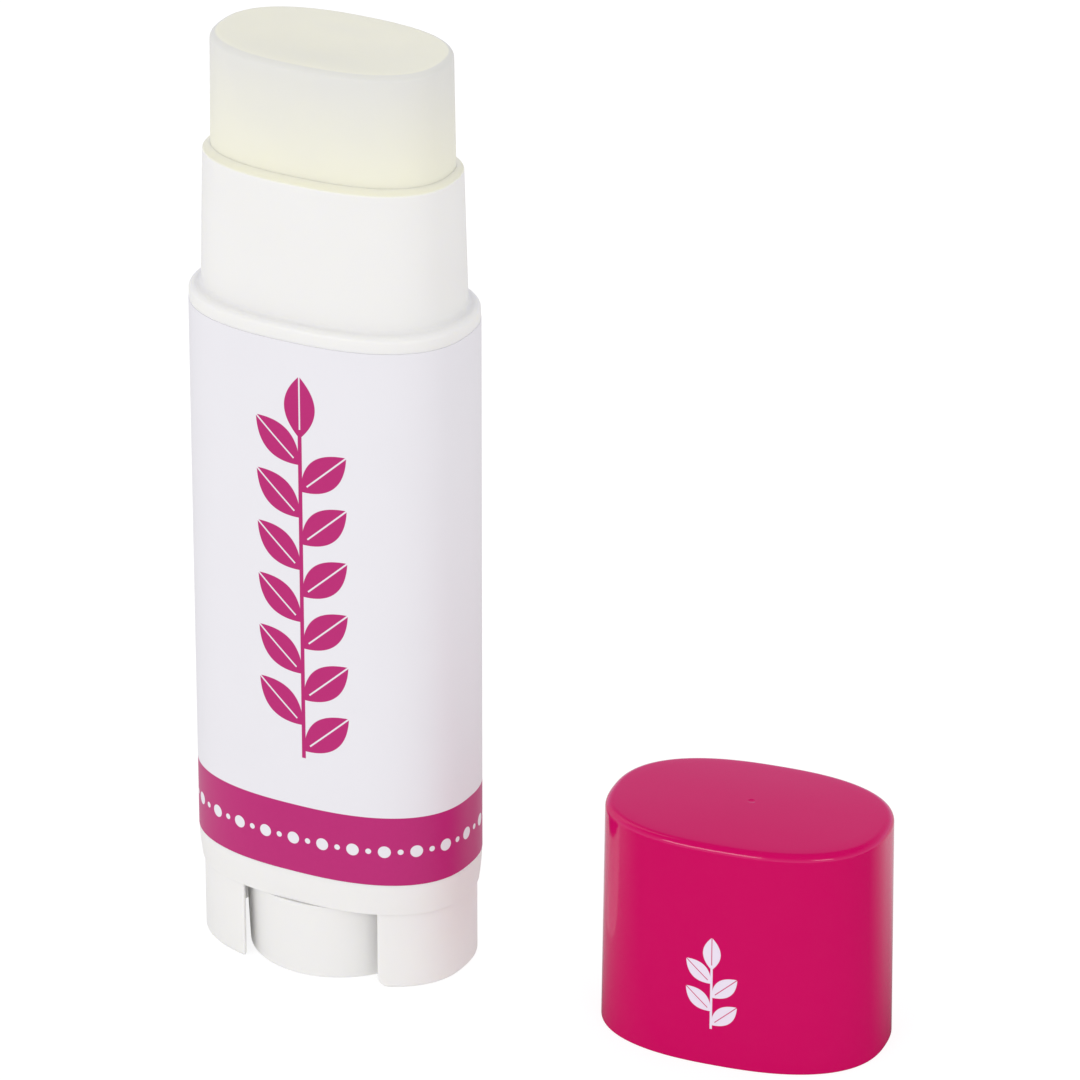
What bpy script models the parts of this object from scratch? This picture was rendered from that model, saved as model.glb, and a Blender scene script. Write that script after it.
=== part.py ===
"""Twist-up lip balm stick: oval barrel, wrap label, thumbwheel with drive screw,
carrier, balm and a pull-off cap standing beside it.

Units are metres and +Z is up. The origin is on the stick's axis at the floor,
+X runs along the long axis of the oval, and -Y is the front face.
"""

import math

import bmesh
import bpy
from mathutils import Matrix, Vector

# Shape numbers shared by every piece
OVAL_EXPONENT = 2.45
OVAL_SIDES = 64
ROUND_SIDES = 40
FILLET_STEPS = 4
SMOOTH_ANGLE_DEGREES = 32.0
CUT_OVERRUN = 0.00200

# Barrel: outer shell, shoulder and neck
BODY_HALF_X = 0.01097
BODY_HALF_Y = 0.00710
BODY_HEIGHT = 0.05293
SHOULDER_FILLET = 0.00045
SHOULDER_LEDGE_X = 0.00085
SHOULDER_LEDGE_Y = 0.00093
NECK_HEIGHT = 0.01051
NECK_DRAFT = 0.00026
NECK_RIM_FILLET = 0.00012
NECK_WALL_X = 0.00050
NECK_WALL_Y = 0.00068

# Barrel: tucked-in lower edge, legs, wheel well and windows
TUCK_HEIGHT = 0.00225
TUCK_DEPTH = 0.00021
TUCK_CURVE = 1.5
STEP_HEIGHT = 0.00015
STEP_DEPTH = 0.00014
LEG_HEIGHT = 0.00620
LEG_WALL = 0.00120
LEG_FOOT_FILLET = 0.00030
WEB_THICKNESS = 0.00150
WELL_CLEARANCE = 0.00060
WINDOW_WIDTH = 0.01108
WINDOW_SHIFT = 0.00076
WINDOW_LEAD_IN = 0.00100

# Label film and the shallow panel that it lies in
LABEL_MARGIN_BELOW = 0.00023
LABEL_MARGIN_ABOVE = 0.00118
PANEL_DEPTH = 0.00007
LABEL_GAP = 0.00002
LABEL_THICKNESS = 0.00008
LABEL_SEAM = 0.00030

# Thumbwheel, cored underneath round a hub
WHEEL_SINK = 0.00002
WHEEL_TAPER = 0.00025
WHEEL_FILLET = 0.00022
WHEEL_FLOOR_GAP = 0.00005
WHEEL_ROOF_GAP = 0.00015
WHEEL_RIM_WALL = 0.00120
WHEEL_CORE_DEPTH = 0.00360
HUB_RADIUS = 0.00270

# Drive screw: one left-hand thread, held in the web by a snap collar
SCREW_LEAD = 0.00400
SCREW_CORE_RADIUS = 0.00165
THREAD_DEPTH = 0.00085
THREAD_ROOT_WIDTH = 0.00150
THREAD_CREST_WIDTH = 0.00080
THREAD_SINK = 0.00030
THREAD_SIDES = 20
THREAD_START_GAP = 0.00030
THREAD_CLEARANCE = 0.00015
SCREW_TIP_BELOW_RIM = 0.00500
SCREW_TIP_LENGTH = 0.00080
SCREW_TIP_CHAMFER = 0.00060
JOURNAL_MARGIN = 0.00010
JOURNAL_CLEARANCE = 0.00008
COLLAR_LIP = 0.00030
COLLAR_TAPER = 0.00070
COLLAR_HEIGHT = 0.00090
COLLAR_CLEARANCE = 0.00015

# Carrier: plate, guide skirt, cup, nut boss, rib and fins
SLIDE_CLEARANCE = 0.00012
CARRIER_FLOOR_GAP = 0.00035
SKIRT_HEIGHT = 0.00600
SKIRT_WALL = 0.00080
PLATE_THICKNESS = 0.00120
CUP_HEIGHT = 0.00300
CUP_WALL = 0.00065
BOSS_WALL = 0.00145
SKIRT_RIB_THICKNESS = 0.00080
FIN_THICKNESS = 0.00070
FIN_HEIGHT = 0.00240

# Balm, cast in the cup and round the screw
BALM_SHOWN = 0.00935
BALM_TUCKED = 0.00030
BALM_GAP = 0.00005
BALM_TOP_FILLET = 0.00120
BALM_LAND = 0.00060
BALM_DISH = 0.00035
DISH_WIDTH_SHARES = (1.0, 0.82, 0.6, 0.35)
DISH_DEPTH_SHARES = (0.0, 0.55, 0.9, 1.0)
SCREW_HOLE_CLEARANCE = 0.00025
SCREW_HOLE_HEADROOM = 0.00030

# Cap, standing on its mouth beside the stick
CAP_CENTRE_X = 0.03276
CAP_CENTRE_Y = 0.00240
CAP_TURN_DEGREES = 7.66
CAP_HEIGHT = 0.01848
CAP_WALL_X = 0.00058
CAP_WALL_Y = 0.00094
CAP_FIT_CLEARANCE = 0.00009
CAP_DRAFT_X = 0.00014
CAP_DRAFT_Y = 0.00051
CAP_TOP_FILLET = 0.00130
CAP_MOUTH_FILLET = 0.00015
CAP_ROOF = 0.00120
CAP_CAVITY_DRAFT = 0.00020
CAP_CAVITY_FILLET = 0.00080
GRIP_RIB_WIDTH = 0.00080
GRIP_RIB_PROUD = 0.00006
GRIP_RIB_HEIGHT = 0.00700
GRIP_RIB_SPACING = 0.00760
GRIP_RIB_MOUTH_GAP = 0.00120
GATE_RADIUS = 0.00045
GATE_DEPTH = 0.00012
GATE_SIDES = 16

# Sections that follow from the sizes above
LEG_HALF_X = BODY_HALF_X - TUCK_DEPTH - STEP_DEPTH
LEG_HALF_Y = BODY_HALF_Y - TUCK_DEPTH - STEP_DEPTH
NECK_BASE_HALF_X = BODY_HALF_X - SHOULDER_LEDGE_X
NECK_BASE_HALF_Y = BODY_HALF_Y - SHOULDER_LEDGE_Y
NECK_RIM_HALF_X = NECK_BASE_HALF_X - NECK_DRAFT
NECK_RIM_HALF_Y = NECK_BASE_HALF_Y - NECK_DRAFT
BORE_HALF_X = NECK_RIM_HALF_X - NECK_WALL_X
BORE_HALF_Y = NECK_RIM_HALF_Y - NECK_WALL_Y
SLIDE_HALF_X = BORE_HALF_X - SLIDE_CLEARANCE
SLIDE_HALF_Y = BORE_HALF_Y - SLIDE_CLEARANCE
PANEL_HALF_X = BODY_HALF_X - PANEL_DEPTH
PANEL_HALF_Y = BODY_HALF_Y - PANEL_DEPTH
WHEEL_TOP_RADIUS = BODY_HALF_Y - WHEEL_SINK
WHEEL_BOTTOM_RADIUS = WHEEL_TOP_RADIUS - WHEEL_TAPER
THREAD_CREST_RADIUS = SCREW_CORE_RADIUS + THREAD_DEPTH
JOURNAL_RADIUS = THREAD_CREST_RADIUS + JOURNAL_MARGIN
BOSS_RADIUS = THREAD_CREST_RADIUS + THREAD_CLEARANCE + BOSS_WALL
CUP_HALF_X = SLIDE_HALF_X - CUP_WALL
CUP_HALF_Y = SLIDE_HALF_Y - CUP_WALL
CAVITY_HALF_X = NECK_BASE_HALF_X + CAP_FIT_CLEARANCE
CAVITY_HALF_Y = NECK_BASE_HALF_Y + CAP_FIT_CLEARANCE
CAP_MOUTH_HALF_X = CAVITY_HALF_X + CAP_WALL_X
CAP_MOUTH_HALF_Y = CAVITY_HALF_Y + CAP_WALL_Y

# Heights that follow from the sizes above
TUCK_BOTTOM = LEG_HEIGHT + STEP_HEIGHT
WEB_TOP = LEG_HEIGHT + WEB_THICKNESS
LABEL_BOTTOM = TUCK_BOTTOM + TUCK_HEIGHT + LABEL_MARGIN_BELOW
LABEL_TOP = BODY_HEIGHT - LABEL_MARGIN_ABOVE
NECK_RIM = BODY_HEIGHT + NECK_HEIGHT
WHEEL_TOP = LEG_HEIGHT - WHEEL_ROOF_GAP
COLLAR_BOTTOM = WEB_TOP + COLLAR_CLEARANCE
COLLAR_TOP = COLLAR_BOTTOM + COLLAR_HEIGHT
SCREW_TIP = NECK_RIM - SCREW_TIP_BELOW_RIM
LIFT_AT_REST = BALM_SHOWN + BALM_TUCKED
CARRIER_BOTTOM = COLLAR_TOP + CARRIER_FLOOR_GAP + LIFT_AT_REST
PLATE_BOTTOM = CARRIER_BOTTOM + SKIRT_HEIGHT
PLATE_TOP = PLATE_BOTTOM + PLATE_THICKNESS
CUP_TOP = PLATE_TOP + CUP_HEIGHT
BALM_TOP = NECK_RIM + BALM_SHOWN

# Plain materials: colour, roughness and subsurface weight
WHITE = (0.86, 0.86, 0.85, 1.0)
MATERIALS = {
    "barrel_plastic": (WHITE, 0.38, 0.10),
    "wheel_plastic": (WHITE, 0.42, 0.10),
    "carrier_plastic": (WHITE, 0.45, 0.10),
    "label_film": ((0.87, 0.86, 0.89, 1.0), 0.45, 0.0),
    "balm_wax": ((0.84, 0.85, 0.76, 1.0), 0.50, 0.20),
    "cap_plastic": ((0.60, 0.006, 0.125, 1.0), 0.22, 0.0),
}


def clear_scene():
    """Remove the objects of the open scene."""
    for thing in list(bpy.data.objects):
        bpy.data.objects.remove(thing, do_unlink=True)


def make_material(name):
    """A Principled material from the table above."""
    colour, roughness, subsurface = MATERIALS[name]
    material = bpy.data.materials.new(name)
    material.use_nodes = True
    shader = material.node_tree.nodes["Principled BSDF"]
    shader.inputs["Base Color"].default_value = colour
    shader.inputs["Roughness"].default_value = roughness
    shader.inputs["Metallic"].default_value = 0.0
    shader.inputs["Subsurface Weight"].default_value = subsurface
    return material


def oval_ring(half_x, half_y, z):
    """One closed ring of the oval, anticlockwise from above."""
    power = 2.0 / OVAL_EXPONENT
    ring = []
    for side in range(OVAL_SIDES):
        angle = 2.0 * math.pi * side / OVAL_SIDES
        cosine = math.cos(angle)
        sine = math.sin(angle)
        x = half_x * math.copysign(abs(cosine) ** power, cosine)
        y = half_y * math.copysign(abs(sine) ** power, sine)
        ring.append(Vector((x, y, z)))
    return ring


def oval_wall(half_x, half_y, x):
    """The distance of the oval's wall from the X axis at a place along it."""
    return half_y * (1.0 - (abs(x) / half_x) ** OVAL_EXPONENT) ** (1.0 / OVAL_EXPONENT)


def round_ring(radius, z, sides):
    """One closed ring of a circle, anticlockwise from above."""
    angles = [2.0 * math.pi * side / sides for side in range(sides)]
    return [Vector((radius * math.cos(angle), radius * math.sin(angle), z)) for angle in angles]


def oval_stack(levels):
    """Rings of the oval from a list of (half x, half y, height)."""
    return [oval_ring(half_x, half_y, z) for half_x, half_y, z in levels]


def round_stack(levels, sides=ROUND_SIDES):
    """Rings of a circle from a list of (radius, height)."""
    return [round_ring(radius, z, sides) for radius, z in levels]


def fillet_at_top(top, radius):
    """Pairs of (inset, height) round an upper outer edge, from the wall to the flat."""
    pairs = []
    for step in range(FILLET_STEPS + 1):
        angle = 0.5 * math.pi * step / FILLET_STEPS
        pairs.append((radius * (1.0 - math.cos(angle)), top - radius * (1.0 - math.sin(angle))))
    return pairs


def fillet_at_bottom(bottom, radius):
    """Pairs of (inset, height) round a lower outer edge, from the flat to the wall."""
    pairs = []
    for step in range(FILLET_STEPS + 1):
        angle = 0.5 * math.pi * step / FILLET_STEPS
        pairs.append((radius * (1.0 - math.sin(angle)), bottom + radius * (1.0 - math.cos(angle))))
    return pairs


def inset_levels(half_x, half_y, pairs):
    """Turn (inset, height) pairs into (half x, half y, height) levels."""
    return [(half_x - inset, half_y - inset, z) for inset, z in pairs]


def add_object(name, work, material=None):
    """Turn a bmesh into a linked object with smooth shading and its material."""
    mesh = bpy.data.meshes.new(name)
    work.to_mesh(mesh)
    work.free()
    if material is not None:
        mesh.materials.append(material)
    mesh.shade_smooth()
    mesh.set_sharp_from_angle(angle=math.radians(SMOOTH_ANGLE_DEGREES))
    thing = bpy.data.objects.new(name, mesh)
    bpy.context.scene.collection.objects.link(thing)
    return thing


def bridge(work, low_loop, high_loop):
    """Join two loops of corners with a band of faces."""
    count = len(low_loop)
    for side in range(count):
        after = (side + 1) % count
        work.faces.new((low_loop[side], low_loop[after], high_loop[after], high_loop[side]))


def loft(name, rings, material=None):
    """A closed solid through rings that run from bottom to top."""
    work = bmesh.new()
    loops = [[work.verts.new(point) for point in ring] for ring in rings]
    for low_loop, high_loop in zip(loops, loops[1:]):
        bridge(work, low_loop, high_loop)
    work.faces.new(tuple(reversed(loops[0])))
    work.faces.new(tuple(loops[-1]))
    bmesh.ops.recalc_face_normals(work, faces=work.faces)
    return add_object(name, work, material)


def block(name, low, high):
    """A plain box between two corners."""
    corners = [(low[0], low[1]), (high[0], low[1]), (high[0], high[1]), (low[0], high[1])]
    return loft(name, [[Vector((x, y, z)) for x, y in corners] for z in (low[2], high[2])])


def combine(target, tool, operation):
    """Cut from or join to a target with a hidden tool object."""
    tool.hide_render = True
    tool.display_type = "WIRE"
    modifier = target.modifiers.new(tool.name, "BOOLEAN")
    modifier.operation = operation
    modifier.solver = "EXACT"
    modifier.object = tool


def cut(target, tool):
    """Take a hidden tool object away from a target."""
    combine(target, tool, "DIFFERENCE")


def join(target, tool):
    """Fuse a hidden tool object with a target."""
    combine(target, tool, "UNION")


def thread_ridge(name, low, high, clearance=0.0):
    """The helical ridge of the drive screw between two heights, grown by a clearance.

    Its turn depends only on height, so the screw and the nut cut with it share one thread.
    """
    rise = SCREW_LEAD / THREAD_SIDES
    crest = THREAD_CREST_RADIUS + clearance
    root = SCREW_CORE_RADIUS - THREAD_SINK
    half_crest = 0.5 * THREAD_CREST_WIDTH + clearance
    flank_slope = 0.5 * (THREAD_ROOT_WIDTH - THREAD_CREST_WIDTH) / THREAD_DEPTH
    half_root = half_crest + flank_slope * (crest - root)
    profile = [(root, -half_root), (crest, -half_crest), (crest, half_crest), (root, half_root)]
    sections = []
    for step in range(round(low / rise), round(high / rise) + 1):
        angle = -2.0 * math.pi * step / THREAD_SIDES
        outward = Vector((math.cos(angle), math.sin(angle), 0.0))
        middle = Vector((0.0, 0.0, rise * step))
        sections.append([middle + radius * outward + Vector((0.0, 0.0, up)) for radius, up in profile])
    return loft(name, sections)


def barrel_levels():
    """Levels of the barrel's outer form, from the feet to the neck rim."""
    levels = inset_levels(LEG_HALF_X, LEG_HALF_Y, fillet_at_bottom(0.0, LEG_FOOT_FILLET))
    levels.append((LEG_HALF_X, LEG_HALF_Y, LEG_HEIGHT))
    for step in range(FILLET_STEPS + 1):
        share = step / FILLET_STEPS
        inset = TUCK_DEPTH * (1.0 - share) ** TUCK_CURVE
        levels.append((BODY_HALF_X - inset, BODY_HALF_Y - inset, TUCK_BOTTOM + TUCK_HEIGHT * share))
    levels.append((BODY_HALF_X, BODY_HALF_Y, LABEL_BOTTOM - PANEL_DEPTH))
    levels.append((PANEL_HALF_X, PANEL_HALF_Y, LABEL_BOTTOM))
    levels.append((PANEL_HALF_X, PANEL_HALF_Y, LABEL_TOP))
    levels.append((BODY_HALF_X, BODY_HALF_Y, LABEL_TOP + PANEL_DEPTH))
    levels += inset_levels(BODY_HALF_X, BODY_HALF_Y, fillet_at_top(BODY_HEIGHT, SHOULDER_FILLET))
    levels.append((NECK_BASE_HALF_X, NECK_BASE_HALF_Y, BODY_HEIGHT))
    levels += inset_levels(NECK_RIM_HALF_X, NECK_RIM_HALF_Y, fillet_at_top(NECK_RIM, NECK_RIM_FILLET))
    return levels


def window_cutter(name, turn_degrees):
    """One wheel window: a slot in a wide face, open at the floor and eased at both feet."""
    left = WINDOW_SHIFT - 0.5 * WINDOW_WIDTH
    right = WINDOW_SHIFT + 0.5 * WINDOW_WIDTH
    easing = fillet_at_bottom(0.0, WINDOW_LEAD_IN)
    outline = [(left - WINDOW_LEAD_IN, -CUT_OVERRUN), (right + WINDOW_LEAD_IN, -CUT_OVERRUN)]
    outline += [(right + out, up) for out, up in easing]
    outline += [(right, LEG_HEIGHT), (left, LEG_HEIGHT)]
    outline += [(left - out, up) for out, up in reversed(easing)]
    turn = Matrix.Rotation(math.radians(turn_degrees), 4, "Z")
    depths = (0.0, -BODY_HALF_Y - CUT_OVERRUN)
    return loft(name, [[turn @ Vector((x, depth, z)) for x, z in outline] for depth in depths])


def build_barrel():
    """The barrel moulding: shell, shoulder, neck, bore, web and the two legs."""
    barrel = loft("barrel", oval_stack(barrel_levels()), make_material("barrel_plastic"))
    bore = [(BORE_HALF_X, BORE_HALF_Y, z) for z in (WEB_TOP, NECK_RIM + CUT_OVERRUN)]
    cut(barrel, loft("cut_bore", oval_stack(bore)))
    pocket = [(LEG_HALF_X - LEG_WALL, LEG_HALF_Y - LEG_WALL, z) for z in (-CUT_OVERRUN, LEG_HEIGHT)]
    cut(barrel, loft("cut_leg_pocket", oval_stack(pocket)))
    well = [(WHEEL_TOP_RADIUS + WELL_CLEARANCE, z) for z in (-CUT_OVERRUN, LEG_HEIGHT)]
    cut(barrel, loft("cut_wheel_well", round_stack(well)))
    cut(barrel, window_cutter("cut_front_window", 0.0))
    cut(barrel, window_cutter("cut_back_window", 180.0))
    hole_radius = JOURNAL_RADIUS + JOURNAL_CLEARANCE
    hole = [(hole_radius, z) for z in (LEG_HEIGHT - CUT_OVERRUN, WEB_TOP + CUT_OVERRUN)]
    cut(barrel, loft("cut_journal_hole", round_stack(hole)))
    return barrel


def build_label():
    """The wrap label: a thin film round the body with a narrow seam at the back."""
    inner_half_x = PANEL_HALF_X + LABEL_GAP
    inner_half_y = PANEL_HALF_Y + LABEL_GAP
    outer_half_x = inner_half_x + LABEL_THICKNESS
    outer_half_y = inner_half_y + LABEL_THICKNESS
    low = LABEL_BOTTOM + LABEL_GAP
    high = LABEL_TOP - LABEL_GAP
    film = oval_stack([(outer_half_x, outer_half_y, z) for z in (low, high)])
    label = loft("label", film, make_material("label_film"))
    core = oval_stack([(inner_half_x, inner_half_y, z) for z in (low - CUT_OVERRUN, high + CUT_OVERRUN)])
    cut(label, loft("cut_label_core", core))
    seam_low = (-0.5 * LABEL_SEAM, inner_half_y - CUT_OVERRUN, low - CUT_OVERRUN)
    seam_high = (0.5 * LABEL_SEAM, outer_half_y + CUT_OVERRUN, high + CUT_OVERRUN)
    cut(label, block("cut_label_seam", seam_low, seam_high))
    return label


def wheel_levels():
    """Levels of the turned wheel, its journal and its snap collar."""
    levels = [(WHEEL_BOTTOM_RADIUS - inset, z) for inset, z in fillet_at_bottom(WHEEL_FLOOR_GAP, WHEEL_FILLET)]
    levels += [(WHEEL_TOP_RADIUS - inset, z) for inset, z in fillet_at_top(WHEEL_TOP, WHEEL_FILLET)]
    levels += [
        (JOURNAL_RADIUS, WHEEL_TOP),
        (JOURNAL_RADIUS, COLLAR_BOTTOM),
        (JOURNAL_RADIUS + COLLAR_LIP, COLLAR_BOTTOM),
        (JOURNAL_RADIUS + COLLAR_LIP - COLLAR_TAPER, COLLAR_TOP),
    ]
    return levels


def build_thumbwheel():
    """The thumbwheel, its snap collar and the drive screw, one moulding."""
    wheel = loft("thumbwheel_screw", round_stack(wheel_levels()), make_material("wheel_plastic"))
    core_top = WHEEL_FLOOR_GAP + WHEEL_CORE_DEPTH
    trough = loft("cut_wheel_trough", round_stack(
        [(WHEEL_BOTTOM_RADIUS - WHEEL_RIM_WALL, z) for z in (-CUT_OVERRUN, core_top)]
    ))
    hub = round_stack([(HUB_RADIUS, z) for z in (-2.0 * CUT_OVERRUN, core_top + CUT_OVERRUN)])
    cut(trough, loft("cut_wheel_hub", hub))
    cut(wheel, trough)
    rod = round_stack([
        (SCREW_CORE_RADIUS, COLLAR_BOTTOM),
        (SCREW_CORE_RADIUS, SCREW_TIP - SCREW_TIP_CHAMFER),
        (SCREW_CORE_RADIUS - SCREW_TIP_CHAMFER, SCREW_TIP),
    ], THREAD_SIDES)
    join(wheel, loft("add_screw_rod", rod))
    ridge_low = COLLAR_TOP + THREAD_START_GAP + 0.5 * THREAD_ROOT_WIDTH
    ridge_high = SCREW_TIP - SCREW_TIP_LENGTH - 0.5 * THREAD_ROOT_WIDTH
    join(wheel, thread_ridge("add_screw_thread", ridge_low, ridge_high))
    return wheel


def fin_boxes(gap, reach):
    """Corners of the two upright fins that key the balm, grown by a gap, out to a reach."""
    half_thickness = 0.5 * FIN_THICKNESS + gap
    inner = BOSS_RADIUS - gap
    low = PLATE_TOP - CUT_OVERRUN
    high = PLATE_TOP + FIN_HEIGHT + gap
    return {
        "right": ((inner, -half_thickness, low), (reach, half_thickness, high)),
        "left": ((-reach, -half_thickness, low), (-inner, half_thickness, high)),
    }


def carrier_underside():
    """The hollow under the plate, with the nut boss and a rib left standing in it."""
    inner_half_x = SLIDE_HALF_X - SKIRT_WALL
    inner_half_y = SLIDE_HALF_Y - SKIRT_WALL
    skirt = [(inner_half_x, inner_half_y, z) for z in (CARRIER_BOTTOM - CUT_OVERRUN, PLATE_BOTTOM)]
    hollow = loft("cut_carrier_skirt", oval_stack(skirt))
    low = CARRIER_BOTTOM - 2.0 * CUT_OVERRUN
    high = PLATE_BOTTOM + CUT_OVERRUN
    cut(hollow, loft("cut_carrier_boss", round_stack([(BOSS_RADIUS, z) for z in (low, high)])))
    half_rib = 0.5 * SKIRT_RIB_THICKNESS
    rib_low = (-SLIDE_HALF_X, -half_rib, low)
    rib_high = (SLIDE_HALF_X, half_rib, high)
    cut(hollow, block("cut_carrier_rib", rib_low, rib_high))
    return hollow


def build_carrier():
    """The carrier: an oval plate with a guide skirt, a cup for the balm, a nut boss and fins."""
    outside = oval_stack([(SLIDE_HALF_X, SLIDE_HALF_Y, z) for z in (CARRIER_BOTTOM, CUP_TOP)])
    carrier = loft("carrier", outside, make_material("carrier_plastic"))
    cut(carrier, carrier_underside())
    cup_levels = [(CUP_HALF_X, CUP_HALF_Y, z) for z in (PLATE_TOP, CUP_TOP + CUT_OVERRUN)]
    cup = loft("cut_carrier_cup", oval_stack(cup_levels))
    for side, (low, high) in fin_boxes(0.0, SLIDE_HALF_X).items():
        cut(cup, block("cut_carrier_fin_" + side, low, high))
    cut(carrier, cup)
    nut_low = CARRIER_BOTTOM - CUT_OVERRUN
    nut_high = PLATE_TOP + CUT_OVERRUN
    bore_radius = SCREW_CORE_RADIUS + THREAD_CLEARANCE
    bore = round_stack([(bore_radius, z) for z in (nut_low, nut_high)], THREAD_SIDES)
    cut(carrier, loft("cut_nut_bore", bore))
    cut(carrier, thread_ridge("cut_nut_thread", nut_low, nut_high, THREAD_CLEARANCE))
    return carrier


def balm_levels():
    """Levels of the balm: a plug that fills the cup, the stick and its dished top."""
    levels = [
        (CUP_HALF_X - BALM_GAP, CUP_HALF_Y - BALM_GAP, PLATE_TOP + BALM_GAP),
        (CUP_HALF_X - BALM_GAP, CUP_HALF_Y - BALM_GAP, CUP_TOP + BALM_GAP),
        (SLIDE_HALF_X, SLIDE_HALF_Y, CUP_TOP + BALM_GAP),
    ]
    levels += inset_levels(SLIDE_HALF_X, SLIDE_HALF_Y, fillet_at_top(BALM_TOP, BALM_TOP_FILLET))
    dish_half_x = SLIDE_HALF_X - BALM_TOP_FILLET - BALM_LAND
    dish_half_y = SLIDE_HALF_Y - BALM_TOP_FILLET - BALM_LAND
    for width_share, depth_share in zip(DISH_WIDTH_SHARES, DISH_DEPTH_SHARES):
        z = BALM_TOP - BALM_DISH * depth_share
        levels.append((dish_half_x * width_share, dish_half_y * width_share, z))
    return levels


def build_balm():
    """The balm, cast in the carrier round the screw."""
    balm = loft("balm", oval_stack(balm_levels()), make_material("balm_wax"))
    hole_top = SCREW_TIP + LIFT_AT_REST + SCREW_HOLE_HEADROOM
    hole_radius = THREAD_CREST_RADIUS + SCREW_HOLE_CLEARANCE
    hole = [(hole_radius, z) for z in (PLATE_TOP - CUT_OVERRUN, hole_top)]
    cut(balm, loft("cut_screw_hole", round_stack(hole)))
    for side, (low, high) in fin_boxes(BALM_GAP, SLIDE_HALF_X).items():
        cut(balm, block("cut_balm_fin_" + side, low, high))
    return balm


def cap_levels():
    """Levels of the cap's outer form, drafted towards the top."""
    mouth = inset_levels(CAP_MOUTH_HALF_X, CAP_MOUTH_HALF_Y, fillet_at_bottom(0.0, CAP_MOUTH_FILLET))
    top_half_x = CAP_MOUTH_HALF_X - CAP_DRAFT_X
    top_half_y = CAP_MOUTH_HALF_Y - CAP_DRAFT_Y
    return mouth + inset_levels(top_half_x, top_half_y, fillet_at_top(CAP_HEIGHT, CAP_TOP_FILLET))


def grip_rib_boxes():
    """Corners of the four slim ribs that let the cap grip the neck."""
    low_z = GRIP_RIB_MOUTH_GAP
    high_z = GRIP_RIB_MOUTH_GAP + GRIP_RIB_HEIGHT
    half_width = 0.5 * GRIP_RIB_WIDTH
    half_spacing = 0.5 * GRIP_RIB_SPACING
    inner = oval_wall(CAVITY_HALF_X, CAVITY_HALF_Y, half_spacing) - GRIP_RIB_PROUD
    outer = CAVITY_HALF_Y + CUT_OVERRUN
    boxes = []
    for centre in (-half_spacing, half_spacing):
        for near, far in ((inner, outer), (-outer, -inner)):
            boxes.append(((centre - half_width, near, low_z), (centre + half_width, far, high_z)))
    return boxes


def build_cap():
    """The cap: a drafted shell with grip ribs inside its mouth, standing beside the stick."""
    cap = loft("cap", oval_stack(cap_levels()), make_material("cap_plastic"))
    cavity = [(CAVITY_HALF_X, CAVITY_HALF_Y, z) for z in (-CUT_OVERRUN, 0.0)]
    roof_half_x = CAVITY_HALF_X - CAP_CAVITY_DRAFT
    roof_half_y = CAVITY_HALF_Y - CAP_CAVITY_DRAFT
    cavity += inset_levels(roof_half_x, roof_half_y, fillet_at_top(CAP_HEIGHT - CAP_ROOF, CAP_CAVITY_FILLET))
    hollow = loft("cut_cap_cavity", oval_stack(cavity))
    ribs = [block("cut_grip_rib", low, high) for low, high in grip_rib_boxes()]
    for rib in ribs:
        cut(hollow, rib)
    gate = [(GATE_RADIUS, z) for z in (CAP_HEIGHT - GATE_DEPTH, CAP_HEIGHT + CUT_OVERRUN)]
    gate_mark = loft("cut_gate_mark", round_stack(gate, GATE_SIDES))
    cut(cap, hollow)
    cut(cap, gate_mark)
    for tool in ribs + [hollow, gate_mark]:
        tool.parent = cap
    cap.location = (CAP_CENTRE_X, CAP_CENTRE_Y, 0.0)
    cap.rotation_euler = (0.0, 0.0, math.radians(CAP_TURN_DEGREES))
    return cap


def main():
    """Build the six pieces; the label rides on the barrel and the balm on the carrier."""
    clear_scene()
    barrel = build_barrel()
    label = build_label()
    build_thumbwheel()
    carrier = build_carrier()
    balm = build_balm()
    build_cap()
    label.parent = barrel
    balm.parent = carrier


main()
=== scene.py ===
"""Looks of the twist-up lip balm stick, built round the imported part.

Units are metres and +Z is up, in the part's own frame. Each visible piece is a finer
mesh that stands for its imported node, lies where that node lies and rides on its body.
"""

import math

import bmesh
import bpy
from mathutils import Matrix, Vector, noise


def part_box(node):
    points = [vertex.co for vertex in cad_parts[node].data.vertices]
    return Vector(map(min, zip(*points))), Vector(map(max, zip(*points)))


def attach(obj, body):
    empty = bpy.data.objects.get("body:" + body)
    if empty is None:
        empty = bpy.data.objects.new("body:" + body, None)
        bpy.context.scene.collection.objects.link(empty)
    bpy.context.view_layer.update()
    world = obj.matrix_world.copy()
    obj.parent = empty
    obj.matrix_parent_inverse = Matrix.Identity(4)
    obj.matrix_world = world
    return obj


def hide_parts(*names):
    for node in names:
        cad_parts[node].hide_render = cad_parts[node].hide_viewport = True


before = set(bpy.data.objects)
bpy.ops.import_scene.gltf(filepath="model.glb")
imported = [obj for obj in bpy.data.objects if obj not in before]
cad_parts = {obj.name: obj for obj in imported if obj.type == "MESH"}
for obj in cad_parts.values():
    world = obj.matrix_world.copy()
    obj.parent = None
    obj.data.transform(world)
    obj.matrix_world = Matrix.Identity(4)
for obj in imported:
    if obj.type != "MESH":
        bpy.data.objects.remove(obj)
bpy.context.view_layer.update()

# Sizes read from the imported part
_, BARREL_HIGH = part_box("barrel")
LABEL_LOW, LABEL_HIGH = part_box("label")
WHEEL_LOW, WHEEL_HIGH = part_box("thumbwheel_screw")
BALM_LOW, BALM_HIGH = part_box("balm")
_, CAP_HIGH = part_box("cap")

# Shape numbers shared by every piece
OVAL_EXPONENT = 2.45
SIDES = 192
FILLET_STEPS = 8
SMOOTH_ANGLE_DEGREES = 32.0
HALF_TURN_DEGREES = 180.0

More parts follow.
